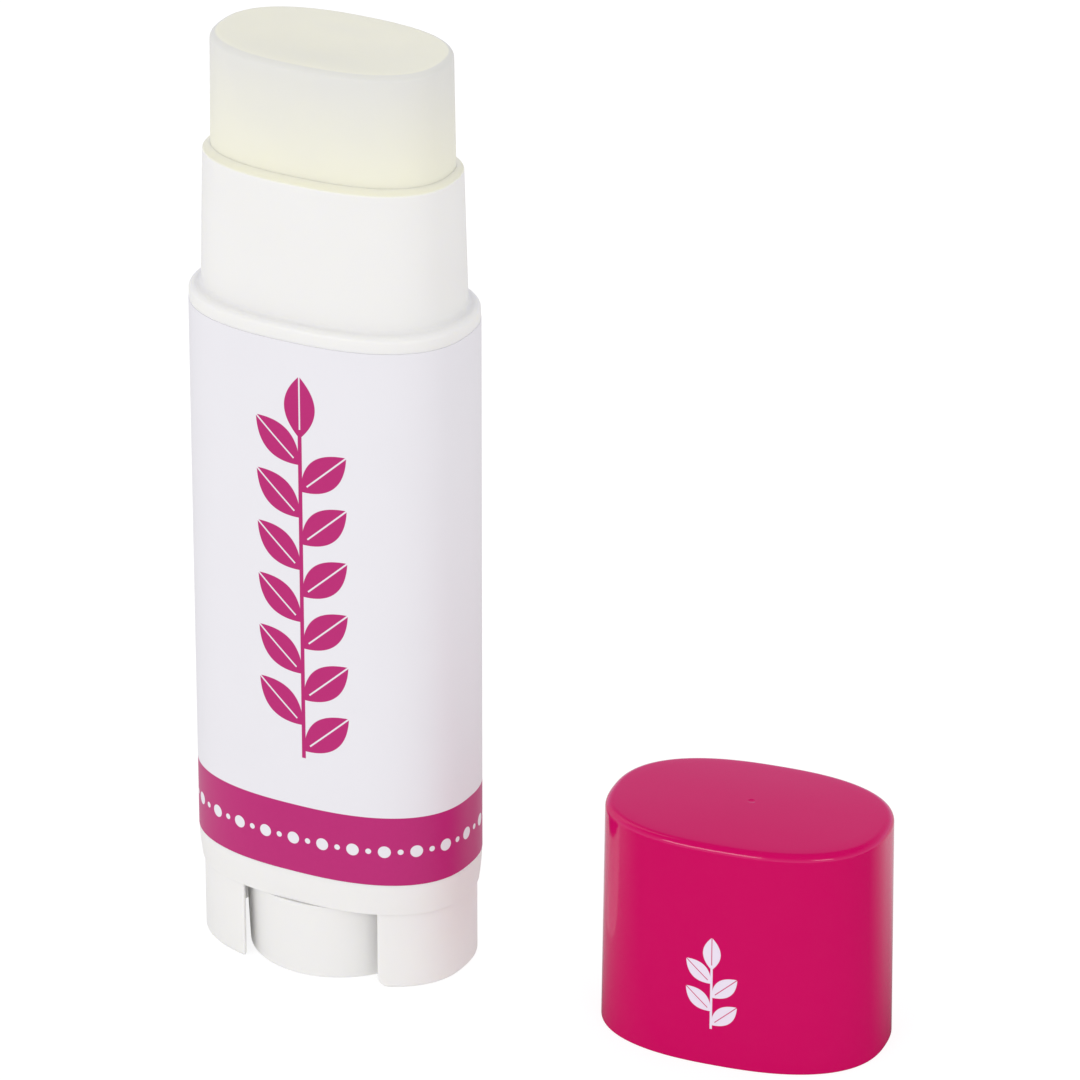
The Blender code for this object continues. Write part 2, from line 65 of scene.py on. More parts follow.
# Barrel: shell, shoulder, neck and bore, with a fillet of wax smeared round the neck's rim
BODY_HALF_X = BARREL_HIGH.x
BODY_HALF_Y = BARREL_HIGH.y
NECK_RIM = BARREL_HIGH.z
NECK_HEIGHT = 0.01051
SHOULDER = NECK_RIM - NECK_HEIGHT
SHOULDER_FILLET = 0.00045
SHOULDER_ROOT_FILLET = 0.00030
SHOULDER_LEDGE_X = 0.00085
SHOULDER_LEDGE_Y = 0.00093
NECK_BASE_HALF_X = BODY_HALF_X - SHOULDER_LEDGE_X
NECK_BASE_HALF_Y = BODY_HALF_Y - SHOULDER_LEDGE_Y
NECK_DRAFT = 0.00026
NECK_RIM_FILLET = 0.00014
NECK_WALL_X = 0.00050
NECK_WALL_Y = 0.00068
WAX_RISE = 0.00030
WAX_GAP = 0.000003

# Barrel: tucked-in lower edge, web, legs, wheel well and windows
TUCK_HEIGHT = 0.00225
TUCK_DEPTH = 0.00021
TUCK_CURVE = 1.5
STEP_HEIGHT = 0.00006
STEP_DEPTH = 0.00014
LEG_HEIGHT = 0.00620
LEG_SINK = 0.00005
LEG_WALL = 0.00120
LEG_EDGE = 0.00012
LEG_EDGE_STEPS = 4
FOOT_OUTER_FILLET = 0.00030
FOOT_LONG_SIDE_LEAD_IN = 0.00100
FOOT_SHORT_SIDE_LEAD_IN = 0.00030
FOOT_INNER_FILLET = 0.00012
WEB_TOP = 0.00770
WELL_RADIUS = 0.00768
WINDOW_SHORT_SIDE = 0.00478
WINDOW_LONG_SIDE = 0.00630
JOURNAL_HOLE_RADIUS = 0.00268
OUTER_ARC_POINTS = 72
INNER_ARC_POINTS = 48

# Label: wrap film and its print
PANEL_DEPTH = 0.00007
PANEL_GAP = 0.00001
LABEL_THICKNESS = 0.00008
LABEL_SEAM = 0.00030
FILM_EDGE = 0.00002
BAND_TOP = 0.01446

# Thumbwheel and drive screw
WHEEL_RADIUS = WHEEL_HIGH.y
WHEEL_TAPER = 0.00025
WHEEL_FILLET = 0.00022
WHEEL_TOP_FILLET = 0.00010
WHEEL_TOP = 0.00617
WHEEL_RIM_WALL = 0.00120
WHEEL_CORE_DEPTH = 0.00360
WHEEL_CORE_TOP = WHEEL_LOW.z + WHEEL_CORE_DEPTH
HUB_RADIUS = 0.00270
JOURNAL_RADIUS = 0.00260
COLLAR_BOTTOM = 0.00785
COLLAR_TOP = 0.00875
COLLAR_RADIUS = 0.00290
COLLAR_TOP_RADIUS = 0.00220
SCREW_LEAD = 0.00400
SCREW_CORE_RADIUS = 0.00165
SCREW_CREST_RADIUS = 0.00250
SCREW_TIP_CHAMFER = 0.00060
SCREW_THREAD_LOW = 0.00980
SCREW_PLAIN_TIP = 0.00155
SCREW_THREAD_HIGH = WHEEL_HIGH.z - SCREW_PLAIN_TIP
THREAD_ROOT_WIDTH = 0.00150
THREAD_CREST_WIDTH = 0.00080
THREAD_SINK = 0.00030
THREAD_STEPS = 48

# Balm, which fills its running gap to the neck up to a hair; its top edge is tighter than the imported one
BALM_SWELL = 0.00010
BALM_HALF_X = BALM_HIGH.x + BALM_SWELL
BALM_HALF_Y = BALM_HIGH.y + BALM_SWELL
BALM_TOP_SINK = 0.00022
BALM_TOP = BALM_HIGH.z - BALM_TOP_SINK
BALM_PLUG_INSET = 0.00070
BALM_PLUG_TOP = 0.02900
BALM_WALL_START = 0.06224
BALM_TOP_FILLET = 0.00055
BALM_LAND = 0.00025
BALM_DISH = 0.00042
BALM_FRONT_WEAR = 0.00040
BALM_TAPER_SHARE = 0.014
BALM_DISH_STEPS = 14
BALM_WALL_STEPS = 24
BALM_HOLE_RADIUS = 0.00275
BALM_HOLE_TOP = 0.06839
BALM_RIPPLE = 0.00002
BALM_RIPPLE_SIZE = 0.00500

# Cap, on its mouth beside the stick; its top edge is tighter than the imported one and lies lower
CAP_CENTRE = Vector((0.03276, 0.00240, 0.0))
CAP_TURN_DEGREES = 7.66
CAP_EDGE_SINK = 0.00057
CAP_HEIGHT = CAP_HIGH.z - CAP_EDGE_SINK
CAP_CROWN = 0.00015
CAP_MOUTH_HALF_X = 0.010784
CAP_MOUTH_HALF_Y = 0.007194
CAP_DRAFT_X = 0.00020
CAP_DRAFT_Y = 0.00008
CAP_TOP_FILLET = 0.00060
CAP_MOUTH_FILLET = 0.00015
CAP_WALL_X = 0.00058
CAP_WALL_Y = 0.00094
CAP_CAVITY_DRAFT = 0.00020
CAP_CAVITY_FILLET = 0.00080
CAP_ROOF = 0.00120
CAP_CROWN_SHARES = (0.9, 0.7, 0.5, 0.3, 0.15)
GATE_RADIUS = 0.00030
GATE_DEPTH = 0.00005
GATE_SHIFT = Vector((0.0, 0.00045, 0.0))
GATE_STEPS = 6

# Camera, fitted to the photograph
CAMERA_AZIMUTH_DEGREES = 27.53
CAMERA_ELEVATION_DEGREES = 25.53
CAMERA_ROLL_DEGREES = 0.115
CAMERA_DISTANCE = 0.5191785
CAMERA_TARGET = Vector((0.0167911, 0.0, 0.0367458))
CAMERA_LENS_MM = 239.69
CAMERA_SENSOR_MM = 36.0
CAMERA_NEAR = 0.01
CAMERA_FAR = 20.0


# Mesh helpers

def oval_ring(half_x, half_y, z):
    """One closed ring of the oval, anticlockwise from above."""
    power = 2.0 / OVAL_EXPONENT
    ring = []
    for side in range(SIDES):
        angle = 2.0 * math.pi * side / SIDES
        cosine = math.cos(angle)
        sine = math.sin(angle)
        x = half_x * math.copysign(abs(cosine) ** power, cosine)
        y = half_y * math.copysign(abs(sine) ** power, sine)
        ring.append(Vector((x, y, z)))
    return ring


def oval_wall(half_x, half_y, x):
    """The distance of the oval's wall from the X axis at a place along it."""
    return half_y * (1.0 - (abs(x) / half_x) ** OVAL_EXPONENT) ** (1.0 / OVAL_EXPONENT)


def oval_reach(half_x, half_y, angle):
    """The distance from the axis to the oval's wall in a direction."""
    across = (abs(math.cos(angle)) / half_x) ** OVAL_EXPONENT
    deep = (abs(math.sin(angle)) / half_y) ** OVAL_EXPONENT
    return (across + deep) ** (-1.0 / OVAL_EXPONENT)


def round_ring(radius, z):
    """One closed ring of a circle, anticlockwise from above."""
    angles = [2.0 * math.pi * side / SIDES for side in range(SIDES)]
    return [Vector((radius * math.cos(angle), radius * math.sin(angle), z)) for angle in angles]


def fillet_at_top(top, radius):
    """Pairs of (inset, height) round an upper outer edge, from the wall to the flat."""
    pairs = []
    for step in range(FILLET_STEPS + 1):
        angle = 0.5 * math.pi * step / FILLET_STEPS
        pairs.append((radius * (1.0 - math.cos(angle)), top - radius * (1.0 - math.sin(angle))))
    return pairs


def fillet_at_bottom(bottom, radius):
    """Pairs of (inset, height) round a lower outer edge, from the flat to the wall."""
    pairs = []
    for step in range(FILLET_STEPS + 1):
        angle = 0.5 * math.pi * step / FILLET_STEPS
        pairs.append((radius * (1.0 - math.sin(angle)), bottom + radius * (1.0 - math.cos(angle))))
    return pairs


def inset_rings(half_x, half_y, pairs):
    """Rings of the oval from (inset, height) pairs."""
    return [oval_ring(half_x - inset, half_y - inset, z) for inset, z in pairs]


def add_object(name, work):
    """Turn a bmesh into an object of the scene."""
    mesh = bpy.data.meshes.new(name)
    work.to_mesh(mesh)
    work.free()
    thing = bpy.data.objects.new(name, mesh)
    bpy.context.scene.collection.objects.link(thing)
    return thing


def loft(name, rings, closed=False):
    """A closed solid through rings in path order: capped at both ends, or joined end to end."""
    work = bmesh.new()
    loops = [[work.verts.new(point) for point in ring] for ring in rings]
    pairs = list(zip(loops, loops[1:]))
    if closed:
        pairs.append((loops[-1], loops[0]))
    else:
        work.faces.new(tuple(reversed(loops[0])))
        work.faces.new(tuple(loops[-1]))
    for low_loop, high_loop in pairs:
        count = len(low_loop)
        for side in range(count):
            after = (side + 1) % count
            work.faces.new((low_loop[side], low_loop[after], high_loop[after], high_loop[side]))
    bmesh.ops.recalc_face_normals(work, faces=work.faces)
    return add_object(name, work)


def join(target, tool):
    """Fuse a tool object with a target for good and remove the tool."""
    modifier = target.modifiers.new("join", "BOOLEAN")
    modifier.operation = "UNION"
    modifier.solver = "EXACT"
    modifier.object = tool
    view = bpy.context.evaluated_depsgraph_get()
    mesh = bpy.data.meshes.new_from_object(target.evaluated_get(view))
    target.modifiers.clear()
    target.data = mesh
    bpy.data.objects.remove(tool, do_unlink=True)


def finish_piece(piece, body, nodes, material):
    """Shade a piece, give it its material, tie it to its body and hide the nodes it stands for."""
    piece.data.materials.clear()
    piece.data.materials.append(material)
    piece.data.shade_smooth()
    piece.data.set_sharp_from_angle(angle=math.radians(SMOOTH_ANGLE_DEGREES))
    normals = piece.modifiers.new("normals", "WEIGHTED_NORMAL")
    normals.keep_sharp = True
    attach(piece, body)
    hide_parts(*nodes)


# Barrel

def shell_rings():
    """Rings round the shell's section, from the journal hole out, up, over the rim and down the bore."""
    leg_half_x = BODY_HALF_X - TUCK_DEPTH - STEP_DEPTH
    leg_half_y = BODY_HALF_Y - TUCK_DEPTH - STEP_DEPTH
    tuck_bottom = LEG_HEIGHT + STEP_HEIGHT
    rings = [round_ring(JOURNAL_HOLE_RADIUS, LEG_HEIGHT), oval_ring(leg_half_x, leg_half_y, LEG_HEIGHT)]
    for step in range(FILLET_STEPS + 1):
        share = step / FILLET_STEPS
        inset = TUCK_DEPTH * (1.0 - share) ** TUCK_CURVE
        rings.append(oval_ring(BODY_HALF_X - inset, BODY_HALF_Y - inset, tuck_bottom + TUCK_HEIGHT * share))
    panel_half_x = BODY_HALF_X - PANEL_DEPTH
    panel_half_y = BODY_HALF_Y - PANEL_DEPTH
    low = LABEL_LOW.z - PANEL_GAP
    high = LABEL_HIGH.z + PANEL_GAP
    rings += [oval_ring(BODY_HALF_X, BODY_HALF_Y, low), oval_ring(panel_half_x, panel_half_y, low)]
    rings += [oval_ring(panel_half_x, panel_half_y, high), oval_ring(BODY_HALF_X, BODY_HALF_Y, high)]
    rings += inset_rings(BODY_HALF_X, BODY_HALF_Y, fillet_at_top(SHOULDER, SHOULDER_FILLET))
    root = [(-inset, z) for inset, z in fillet_at_bottom(SHOULDER, SHOULDER_ROOT_FILLET)]
    rings += inset_rings(NECK_BASE_HALF_X, NECK_BASE_HALF_Y, root)
    rim_half_x = NECK_BASE_HALF_X - NECK_DRAFT
    rim_half_y = NECK_BASE_HALF_Y - NECK_DRAFT
    rings += inset_rings(rim_half_x, rim_half_y, fillet_at_top(NECK_RIM, NECK_RIM_FILLET))
    bore_half_x = rim_half_x - NECK_WALL_X
    bore_half_y = rim_half_y - NECK_WALL_Y
    wax_reach = BALM_SWELL + WAX_GAP
    rings.append(oval_ring(BALM_HIGH.x + wax_reach, BALM_HIGH.y + wax_reach, NECK_RIM + WAX_RISE))
    rings += [oval_ring(bore_half_x, bore_half_y, z) for z in (NECK_RIM, WEB_TOP)]
    rings.append(round_ring(JOURNAL_HOLE_RADIUS, WEB_TOP))
    return rings


def eased_corner(before, corner, after):
    """Points that round a corner between two places on its sides."""
    points = []
    for step in range(LEG_EDGE_STEPS + 1):
        share = step / LEG_EDGE_STEPS
        points.append(before.lerp(corner, share).lerp(corner.lerp(after, share), share))
    return points


def inset_at(z, radius):
    """How far a foot's rounded edge stands in at a height."""
    below = max(radius - z, 0.0)
    return radius - math.sqrt(radius * radius - below * below)


def leg_outline(z):
    """The leg's C-shaped section at a height, between the front and the back wheel window."""
    outer_inset = inset_at(z, FOOT_OUTER_FILLET)
    inner_inset = inset_at(z, FOOT_INNER_FILLET)
    outer_x = BODY_HALF_X - TUCK_DEPTH - STEP_DEPTH - outer_inset
    outer_y = BODY_HALF_Y - TUCK_DEPTH - STEP_DEPTH - outer_inset
    pocket_x = BODY_HALF_X - TUCK_DEPTH - STEP_DEPTH - LEG_WALL + inner_inset
    pocket_y = BODY_HALF_Y - TUCK_DEPTH - STEP_DEPTH - LEG_WALL + inner_inset
    well = WELL_RADIUS + inner_inset
    front_x = WINDOW_LONG_SIDE + inset_at(z, FOOT_LONG_SIDE_LEAD_IN)
    back_x = WINDOW_SHORT_SIDE + inset_at(z, FOOT_SHORT_SIDE_LEAD_IN)

    def inner_y(x):
        in_well = math.sqrt(max(well * well - x * x, 0.0))
        return max(in_well, oval_wall(pocket_x, pocket_y, x))

    def outer_point(angle):
        reach = oval_reach(outer_x, outer_y, angle)
        return Vector((reach * math.cos(angle), reach * math.sin(angle), z))

    def inner_point(angle):
        reach = max(well, oval_reach(pocket_x, pocket_y, angle))
        return Vector((reach * math.cos(angle), reach * math.sin(angle), z))

    outer_front = Vector((front_x, -oval_wall(outer_x, outer_y, front_x), z))
    outer_back = Vector((back_x, oval_wall(outer_x, outer_y, back_x), z))
    inner_back = Vector((back_x, inner_y(back_x), z))
    inner_front = Vector((front_x, -inner_y(front_x), z))
    down = Vector((0.0, LEG_EDGE, 0.0))

    def angle_at(point, turn):
        return math.atan2(point.y, point.x) + turn * LEG_EDGE / point.to_2d().length

    outer_from = angle_at(outer_front, 1.0)
    outer_to = angle_at(outer_back, -1.0)
    inner_from = angle_at(inner_back, -1.0)
    inner_to = angle_at(inner_front, 1.0)
    points = eased_corner(outer_front + down, outer_front, outer_point(outer_from))
    for step in range(1, OUTER_ARC_POINTS):
        points.append(outer_point(outer_from + (outer_to - outer_from) * step / OUTER_ARC_POINTS))
    points += eased_corner(outer_point(outer_to), outer_back, outer_back - down)
    points += eased_corner(inner_back + down, inner_back, inner_point(inner_from))
    for step in range(1, INNER_ARC_POINTS):
        points.append(inner_point(inner_from + (inner_to - inner_from) * step / INNER_ARC_POINTS))
    points += eased_corner(inner_point(inner_to), inner_front, inner_front - down)
    return points


def build_leg(name, turn_degrees):
    """One leg, rounded at its foot and let into the shell at its top."""
    bends = [0.5 * math.pi * step / FILLET_STEPS for step in range(FILLET_STEPS + 1)]
    heights = [FOOT_LONG_SIDE_LEAD_IN * (1.0 - math.cos(bend)) for bend in bends]
    heights.append(LEG_HEIGHT + LEG_SINK)
    turn = Matrix.Rotation(math.radians(turn_degrees), 4, "Z")
    return loft(name, [[turn @ point for point in leg_outline(z)] for z in heights])


def build_barrel():
    """The barrel: shell with neck and bore, and the two legs."""
    barrel = loft("barrel_shell", shell_rings(), closed=True)
    join(barrel, build_leg("leg_right", 0.0))
    join(barrel, build_leg("leg_left", HALF_TURN_DEGREES))
    return barrel


# Label

def label_outline(half_x, half_y, z):
    """The film's section from one side of the seam round the front to the other, at its outer face."""
    start = 0.5 * math.pi + math.atan2(0.5 * LABEL_SEAM, half_y)
    sweep = 2.0 * math.pi - 2.0 * math.atan2(0.5 * LABEL_SEAM, half_y)
    points = []
    for side in range(SIDES + 1):
        angle = start + sweep * side / SIDES
        reach = oval_reach(half_x, half_y, angle)
        points.append(Vector((reach * math.cos(angle), reach * math.sin(angle), z)))
    return points


def lay_out_print(piece):
    """Store each point's place on the flat label: metres from the front's middle, and height."""
    mesh = piece.data
    flat = mesh.attributes.new("print_place", "FLOAT_VECTOR", "POINT")
    front = label_outline(LABEL_HIGH.x, LABEL_HIGH.y, 0.0)
    reach = [0.0]
    for before, after in zip(front, front[1:]):
        reach.append(reach[-1] + (after - before).length)
    middle = 0.5 * reach[-1]
    count = len(front)
    for index, vertex in enumerate(mesh.vertices):
        column = index % (2 * count)
        side = column if column < count else 2 * count - 1 - column
        flat.data[index].vector = (reach[side] - middle, vertex.co.z, 0.0)


def build_label():
    """The wrap film: a thin open ring with eased edges and a seam at the back."""
    outer_x = LABEL_HIGH.x
    outer_y = LABEL_HIGH.y
    levels = [
        (FILM_EDGE, LABEL_LOW.z),
        (0.0, LABEL_LOW.z + FILM_EDGE),
        (0.0, BAND_TOP),
        (0.0, LABEL_HIGH.z - FILM_EDGE),
        (FILM_EDGE, LABEL_HIGH.z),
    ]
    rings = []
    for inset, z in levels:
        outside = label_outline(outer_x - inset, outer_y - inset, z)
        inside = label_outline(outer_x - LABEL_THICKNESS, outer_y - LABEL_THICKNESS, z)
        rings.append(outside + list(reversed(inside)))
    label = loft("label_wrap", rings)
    lay_out_print(label)
    return label


# Thumbwheel and screw

def wheel_rings():
    """Rings of the wheel and its screw in one path, from the hub out, over the rim and up to the tip."""
    bottom = WHEEL_LOW.z
    bottom_radius = WHEEL_RADIUS - WHEEL_TAPER
    path = [(HUB_RADIUS, bottom), (HUB_RADIUS, WHEEL_CORE_TOP)]
    path += [(bottom_radius - WHEEL_RIM_WALL, WHEEL_CORE_TOP), (bottom_radius - WHEEL_RIM_WALL, bottom)]
    path += [(bottom_radius - inset, z) for inset, z in fillet_at_bottom(bottom, WHEEL_FILLET)]
    path += [(WHEEL_RADIUS - inset, z) for inset, z in fillet_at_top(WHEEL_TOP, WHEEL_TOP_FILLET)]
    path += [(JOURNAL_RADIUS, WHEEL_TOP), (JOURNAL_RADIUS, COLLAR_BOTTOM)]
    path += [(COLLAR_RADIUS, COLLAR_BOTTOM), (COLLAR_TOP_RADIUS, COLLAR_TOP)]
    path += [(SCREW_CORE_RADIUS, COLLAR_TOP), (SCREW_CORE_RADIUS, WHEEL_HIGH.z - SCREW_TIP_CHAMFER)]
    path.append((SCREW_CORE_RADIUS - SCREW_TIP_CHAMFER, WHEEL_HIGH.z))
    return [round_ring(radius, z) for radius, z in path]


def thread_ridge():
    """The left-hand ridge of the screw, sunk a little into its core."""
    root = SCREW_CORE_RADIUS - THREAD_SINK
    half_crest = 0.5 * THREAD_CREST_WIDTH
    half_root = 0.5 * THREAD_ROOT_WIDTH
    profile = [(root, -half_root), (SCREW_CREST_RADIUS, -half_crest)]
    profile += [(SCREW_CREST_RADIUS, half_crest), (root, half_root)]
    rise = SCREW_LEAD / THREAD_STEPS
    sections = []
    for step in range(round(SCREW_THREAD_LOW / rise), round(SCREW_THREAD_HIGH / rise) + 1):
        angle = -2.0 * math.pi * step / THREAD_STEPS
        outward = Vector((math.cos(angle), math.sin(angle), 0.0))
        middle = Vector((0.0, 0.0, rise * step))
        sections.append([middle + radius * outward + Vector((0.0, 0.0, up)) for radius, up in profile])
    return loft("screw_ridge", sections)


def build_thumbwheel():
    """The thumbwheel and the drive screw, one moulding."""
    wheel = loft("thumbwheel", wheel_rings())
    join(wheel, thread_ridge())
    return wheel


# Balm

def balm_rings():
    """Rings of the balm in one path, from its screw hole down, round the plug and up to the dished top."""
    plug_x = BALM_HIGH.x - BALM_PLUG_INSET
    plug_y = BALM_HIGH.y - BALM_PLUG_INSET
    rings = [round_ring(BALM_HOLE_RADIUS, BALM_HOLE_TOP), round_ring(BALM_HOLE_RADIUS, BALM_LOW.z)]
    rings += [oval_ring(plug_x, plug_y, BALM_LOW.z), oval_ring(plug_x, plug_y, BALM_PLUG_TOP)]
    rings.append(oval_ring(BALM_HALF_X, BALM_HALF_Y, BALM_PLUG_TOP))
    rise = BALM_TOP - BALM_TOP_FILLET - BALM_WALL_START
    for step in range(BALM_WALL_STEPS):
        rings.append(oval_ring(BALM_HALF_X, BALM_HALF_Y, BALM_WALL_START + rise * step / BALM_WALL_STEPS))
    rings += inset_rings(BALM_HALF_X, BALM_HALF_Y, fillet_at_top(BALM_TOP, BALM_TOP_FILLET))
    dish_x = BALM_HALF_X - BALM_TOP_FILLET - BALM_LAND
    dish_y = BALM_HALF_Y - BALM_TOP_FILLET - BALM_LAND
    for step in range(BALM_DISH_STEPS):
        share = 1.0 - step / BALM_DISH_STEPS
        z = BALM_TOP - BALM_DISH * (1.0 - share * share) ** 2
        rings.append(oval_ring(dish_x * share, dish_y * share, z))
    return rings


def build_balm():
    """The balm: above the neck a little narrower, lower at the front and uneven, as worn wax is."""
    balm = loft("balm_stick", balm_rings())
    for vertex in balm.data.vertices:
        if vertex.co.z > NECK_RIM:
            up_share = (vertex.co.z - NECK_RIM) / (BALM_TOP - NECK_RIM)
            swell = noise.noise(vertex.co / BALM_RIPPLE_SIZE)
            vertex.co += vertex.normal * (swell - 1.0) * BALM_RIPPLE * up_share
            vertex.co.x *= 1.0 - BALM_TAPER_SHARE * up_share
            front_share = 0.5 - 0.5 * vertex.co.y / BALM_HALF_Y
            vertex.co.z -= BALM_FRONT_WEAR * up_share * front_share
    return balm


# Cap

def cap_rings():
    """Rings of the cap in one path, from the roof inside down to the mouth and up to the gate mark."""
    cavity_x = CAP_MOUTH_HALF_X - CAP_WALL_X
    cavity_y = CAP_MOUTH_HALF_Y - CAP_WALL_Y
    roof_x = cavity_x - CAP_CAVITY_DRAFT
    roof_y = cavity_y - CAP_CAVITY_DRAFT
    inside = fillet_at_top(CAP_HEIGHT - CAP_ROOF, CAP_CAVITY_FILLET)
    rings = list(reversed(inset_rings(roof_x, roof_y, inside)))
    rings.append(oval_ring(cavity_x, cavity_y, 0.0))
    rings += inset_rings(CAP_MOUTH_HALF_X, CAP_MOUTH_HALF_Y, fillet_at_bottom(0.0, CAP_MOUTH_FILLET))
    top_x = CAP_MOUTH_HALF_X - CAP_DRAFT_X
    top_y = CAP_MOUTH_HALF_Y - CAP_DRAFT_Y
    rings += inset_rings(top_x, top_y, fillet_at_top(CAP_HEIGHT, CAP_TOP_FILLET))
    flat_x = top_x - CAP_TOP_FILLET
    flat_y = top_y - CAP_TOP_FILLET
    for share in CAP_CROWN_SHARES:
        crown = CAP_CROWN * (1.0 - share * share)
        ring = oval_ring(flat_x * share, flat_y * share, CAP_HEIGHT + crown)
        rings.append([point + (1.0 - share) * GATE_SHIFT for point in ring])
    for step in range(GATE_STEPS):
        angle = 0.5 * math.pi * step / GATE_STEPS
        depth = GATE_DEPTH * math.sin(angle)
        ring = round_ring(GATE_RADIUS * math.cos(angle), CAP_HEIGHT + CAP_CROWN - depth)
        rings.append([point + GATE_SHIFT for point in ring])
    return rings


def build_cap():
    """The cap, turned a little and standing on its mouth."""
    cap = loft("cap_shell", cap_rings())
    flat = cap.data.attributes.new("print_place", "FLOAT_VECTOR", "POINT")
    for index, vertex in enumerate(cap.data.vertices):
        flat.data[index].vector = (vertex.co.x, vertex.co.z, vertex.co.y)
    place = Matrix.Translation(CAP_CENTRE) @ Matrix.Rotation(math.radians(CAP_TURN_DEGREES), 4, "Z")
    cap.data.transform(place)
    return cap


# Material helpers

# Sockets of the node that mixes two colours
MIX_FIRST = 6
MIX_SECOND = 7
MIX_RESULT = 2

# How many finer layers a noise has, each half the size of the last
SMOOTH_DETAIL = 1.0
PLAIN_DETAIL = 2.0
CLOUDY_DETAIL = 3.0


class Graph:
    """The node tree of a material or a world, with short ways to add what the finishes share."""

    def __init__(self, owner):
        owner.use_nodes = True
        self.owner = owner
        self.nodes = owner.node_tree.nodes
        self.links = owner.node_tree.links
        self.shader = self.nodes.get("Principled BSDF")

    def feed(self, socket, value):
        """Set a socket to a number or colour, or link it to another node's output."""
        if isinstance(value, bpy.types.NodeSocket):
            self.links.new(value, socket)
        else:
            socket.default_value = value

    def math(self, operation, first, second=0.0, third=0.0, clamp=False):
        """One math node's result."""
        node = self.nodes.new("ShaderNodeMath")
        node.operation = operation
        node.use_clamp = clamp
        for socket, value in zip(node.inputs, (first, second, third)):
            self.feed(socket, value)
        return node.outputs[0]

    def mix(self, factor, first, second):
        """A blend of two colours."""
        node = self.nodes.new("ShaderNodeMix")
        node.data_type = "RGBA"
        self.feed(node.inputs["Factor"], factor)
        self.feed(node.inputs[MIX_FIRST], first)
        self.feed(node.inputs[MIX_SECOND], second)
        return node.outputs[MIX_RESULT]

    def colour(self):
        """What feeds the shader's colour so far."""
        return self.shader.inputs["Base Color"].links[0].from_socket

    def place(self):
        """The point's place in the part's frame, in metres."""
        return self.nodes.new("ShaderNodeTexCoord").outputs["Object"]

    def print_place(self):
        """The point's place on the piece's flat print: across, up and into the piece, in metres."""
        node = self.nodes.new("ShaderNodeAttribute")
        node.attribute_name = "print_place"
        return self.split(node.outputs["Vector"])

    def split(self, vector):
        """The three numbers of a vector."""
        node = self.nodes.new("ShaderNodeSeparateXYZ")
        self.links.new(vector, node.inputs[0])
        return node.outputs

    def facing_up(self):
        """How much the surface faces up, from minus one to one."""
        return self.split(self.nodes.new("ShaderNodeNewGeometry").outputs["Normal"])[2]

    def ramp(self, value, low, high):
        """A value's share of the way from one number to another, kept between 0 and 1."""
        node = self.nodes.new("ShaderNodeMapRange")
        node.inputs["From Min"].default_value = low
        node.inputs["From Max"].default_value = high
        self.links.new(value, node.inputs["Value"])
        return node.outputs[0]

    def seen(self):
        """One for rays that the eye looks along: from the camera or refracted."""
        path = self.nodes.new("ShaderNodeLightPath")
        return self.math("MAXIMUM", path.outputs["Is Camera Ray"], path.outputs["Is Transmission Ray"])

    def mirrored(self):
        """One for rays that a glossy surface has mirrored."""
        return self.nodes.new("ShaderNodeLightPath").outputs["Is Glossy Ray"]

    def noise(self, grain, detail=PLAIN_DETAIL, stretch=(1.0, 1.0, 1.0)):
        """Noise whose grain is a real size, from 0 to 1 about a middle of a half."""
        mapping = self.nodes.new("ShaderNodeMapping")
        mapping.inputs["Scale"].default_value = [share / grain for share in stretch]
        self.links.new(self.place(), mapping.inputs["Vector"])
        node = self.nodes.new("ShaderNodeTexNoise")
        node.inputs["Scale"].default_value = 1.0
        node.inputs["Detail"].default_value = detail
        self.links.new(mapping.outputs[0], node.inputs["Vector"])
        return node.outputs["Fac"]

    def vary(self, amount, middle, spread):
        """A value that swings about its middle with a noise."""
        centred = self.math("SUBTRACT", amount, 0.5)
        return self.math("MULTIPLY_ADD", centred, 2.0 * spread, middle)

    def relief(self, height, depth, below=None):
        """A bump of a real depth, on top of another one if given."""
        node = self.nodes.new("ShaderNodeBump")
        node.inputs["Distance"].default_value = depth
        self.links.new(height, node.inputs["Height"])
        if below is not None:
            self.links.new(below, node.inputs["Normal"])
        return node.outputs[0]

    def edge(self, distance, softness):
        """Full inside a shape and nothing outside, from the signed distance to its outline."""
        return self.math("MULTIPLY_ADD", distance, 1.0 / softness, 0.5, clamp=True)


def opaque(colour, share=1.0):
    """A colour, darkened to a share of itself, with full cover."""
    return tuple(share * part for part in colour) + (1.0,)


def scatter_light(shader, weight, reach):
    """Let light soak into the surface, so that thin edges glow."""
    shader.inputs["Subsurface Weight"].default_value = weight
    shader.inputs["Subsurface Radius"].default_value = reach
    shader.inputs["Subsurface Scale"].default_value = 1.0


# Colours, as linear red, green and blue
WHITE_PLASTIC = (0.832, 0.824, 0.812)
LABEL_WHITE = (0.785, 0.772, 0.812)
PRINT_PINK = (0.495, 0.019, 0.174)
BALM_PALE = (0.72, 0.715, 0.69)
# The next colour is painted shade: the pale wax darkened for the balm's rounded top edge.
BALM_EDGE_SHADE = (0.69, 0.685, 0.655)
BALM_YELLOW = (0.83, 0.815, 0.68)
CAP_PINK = (0.58, 0.0005, 0.108)

